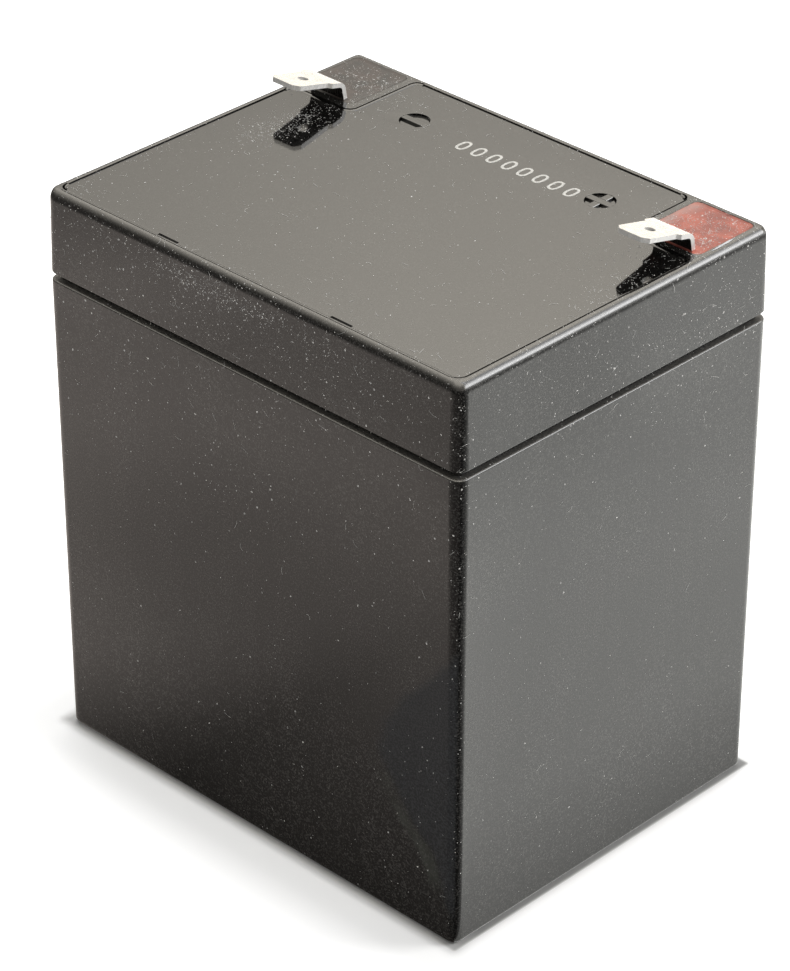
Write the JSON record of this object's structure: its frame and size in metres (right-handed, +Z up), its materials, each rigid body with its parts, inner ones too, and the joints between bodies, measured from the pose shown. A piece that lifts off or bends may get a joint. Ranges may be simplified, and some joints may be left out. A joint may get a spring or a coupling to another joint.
{
  "type": "sealed lead acid battery",
  "caption": "Small box-shaped sealed lead acid battery: black moulded case, welded lid with a let-in vent cover, and bent push-on blades in resin pads at the back corners.",
  "frame": {"origin": "middle of the base, on the surface that the battery stands on", "axes": "+Z up; the length and the row of six cells lie along X; the blades stand at the back, +Y, negative at -X and positive at +X"},
  "size_m": [0.09, 0.07, 0.1067],
  "materials": {
    "housing": "satin moulded, dusty",
    "cover": "smooth moulded, dusty",
    "tinned_blade": "bright tinned",
    "black_resin": "poured, dusty",
    "red_resin": "poured, dusty",
    "valve_rubber": "matt",
    "cast_lead": "dull cast",
    "negative_plate": "matt pasted",
    "positive_plate": "matt pasted",
    "glass_mat": "felted"
  },
  "bodies": {
    "root": {"case": "housing", "lid": "housing", "vent_cover": "cover", "terminal_negative": "tinned_blade", "epoxy_seal_negative": "black_resin", "terminal_post_negative": "cast_lead", "terminal_positive": "tinned_blade", "epoxy_seal_positive": "red_resin", "terminal_post_positive": "cast_lead", "valve_cap_1": "valve_rubber", "cell_1_negative_group": "negative_plate", "cell_1_positive_group": "positive_plate", "separator_1a": "glass_mat", "separator_1b": "glass_mat", "separator_1c": "glass_mat", "valve_cap_2": "valve_rubber", "cell_2_negative_group": "negative_plate", "cell_2_positive_group": "positive_plate", "separator_2a": "glass_mat", "separator_2b": "glass_mat", "separator_2c": "glass_mat", "valve_cap_3": "valve_rubber", "cell_3_negative_group": "negative_plate", "cell_3_positive_group": "positive_plate", "separator_3a": "glass_mat", "separator_3b": "glass_mat", "separator_3c": "glass_mat", "valve_cap_4": "valve_rubber", "cell_4_negative_group": "negative_plate", "cell_4_positive_group": "positive_plate", "separator_4a": "glass_mat", "separator_4b": "glass_mat", "separator_4c": "glass_mat", "valve_cap_5": "valve_rubber", "cell_5_negative_group": "negative_plate", "cell_5_positive_group": "positive_plate", "separator_5a": "glass_mat", "separator_5b": "glass_mat", "separator_5c": "glass_mat", "valve_cap_6": "valve_rubber", "cell_6_negative_group": "negative_plate", "cell_6_positive_group": "positive_plate", "separator_6a": "glass_mat", "separator_6b": "glass_mat", "separator_6c": "glass_mat", "cell_link_1": "cast_lead", "cell_link_2": "cast_lead", "cell_link_3": "cast_lead", "cell_link_4": "cast_lead", "cell_link_5": "cast_lead"}
  },
  "joints": []
}
